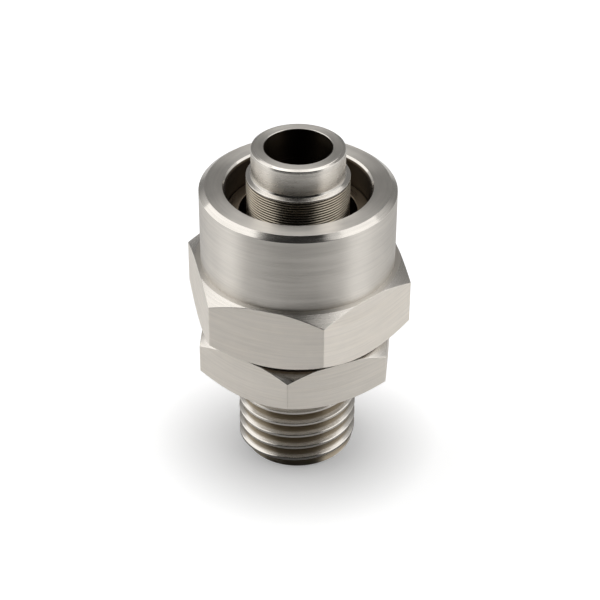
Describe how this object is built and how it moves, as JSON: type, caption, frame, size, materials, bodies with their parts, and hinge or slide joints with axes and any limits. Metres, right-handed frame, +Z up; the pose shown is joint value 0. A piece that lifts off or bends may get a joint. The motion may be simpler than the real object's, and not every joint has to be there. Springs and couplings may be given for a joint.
{
  "type": "hose connector",
  "caption": "Straight hose connector: male thread and hexagon body with a grooved bored spigot, a union nut that screws down over it, and a split ring that clamps the hose.",
  "frame": {"origin": "centre of the male thread's end face, on which the connector stands", "axes": "+Z up the common axis towards the hose spigot; a corner of the body's hexagon points along -Y"},
  "size_m": [0.0226, 0.022, 0.035],
  "materials": {
    "body_plating": "turned and nickel plated, satin",
    "nut_plating": "brushed and nickel plated, satin",
    "ring_plating": "turned and nickel plated, satin"
  },
  "bodies": {
    "body": {"body": "body_plating"},
    "ring": {"clamping_ring": "ring_plating"},
    "nut": {"nut": "nut_plating"}
  },
  "joints": [
    {"name": "ring_rise", "type": "slide", "parent": "body", "child": "ring", "axis": [0, 0, 1], "range_m": [0, 0.00605]},
    {"name": "nut_turn", "type": "hinge", "parent": "ring", "child": "nut", "pos_m": [0, 0, 0.0234], "axis": [0, 0, 1], "range_deg": [0, 2160]}
  ],
  "couplings": [
    {"joint": "ring_rise", "follows": "nut_turn", "m_per_rad": 0.00015915}
  ]
}
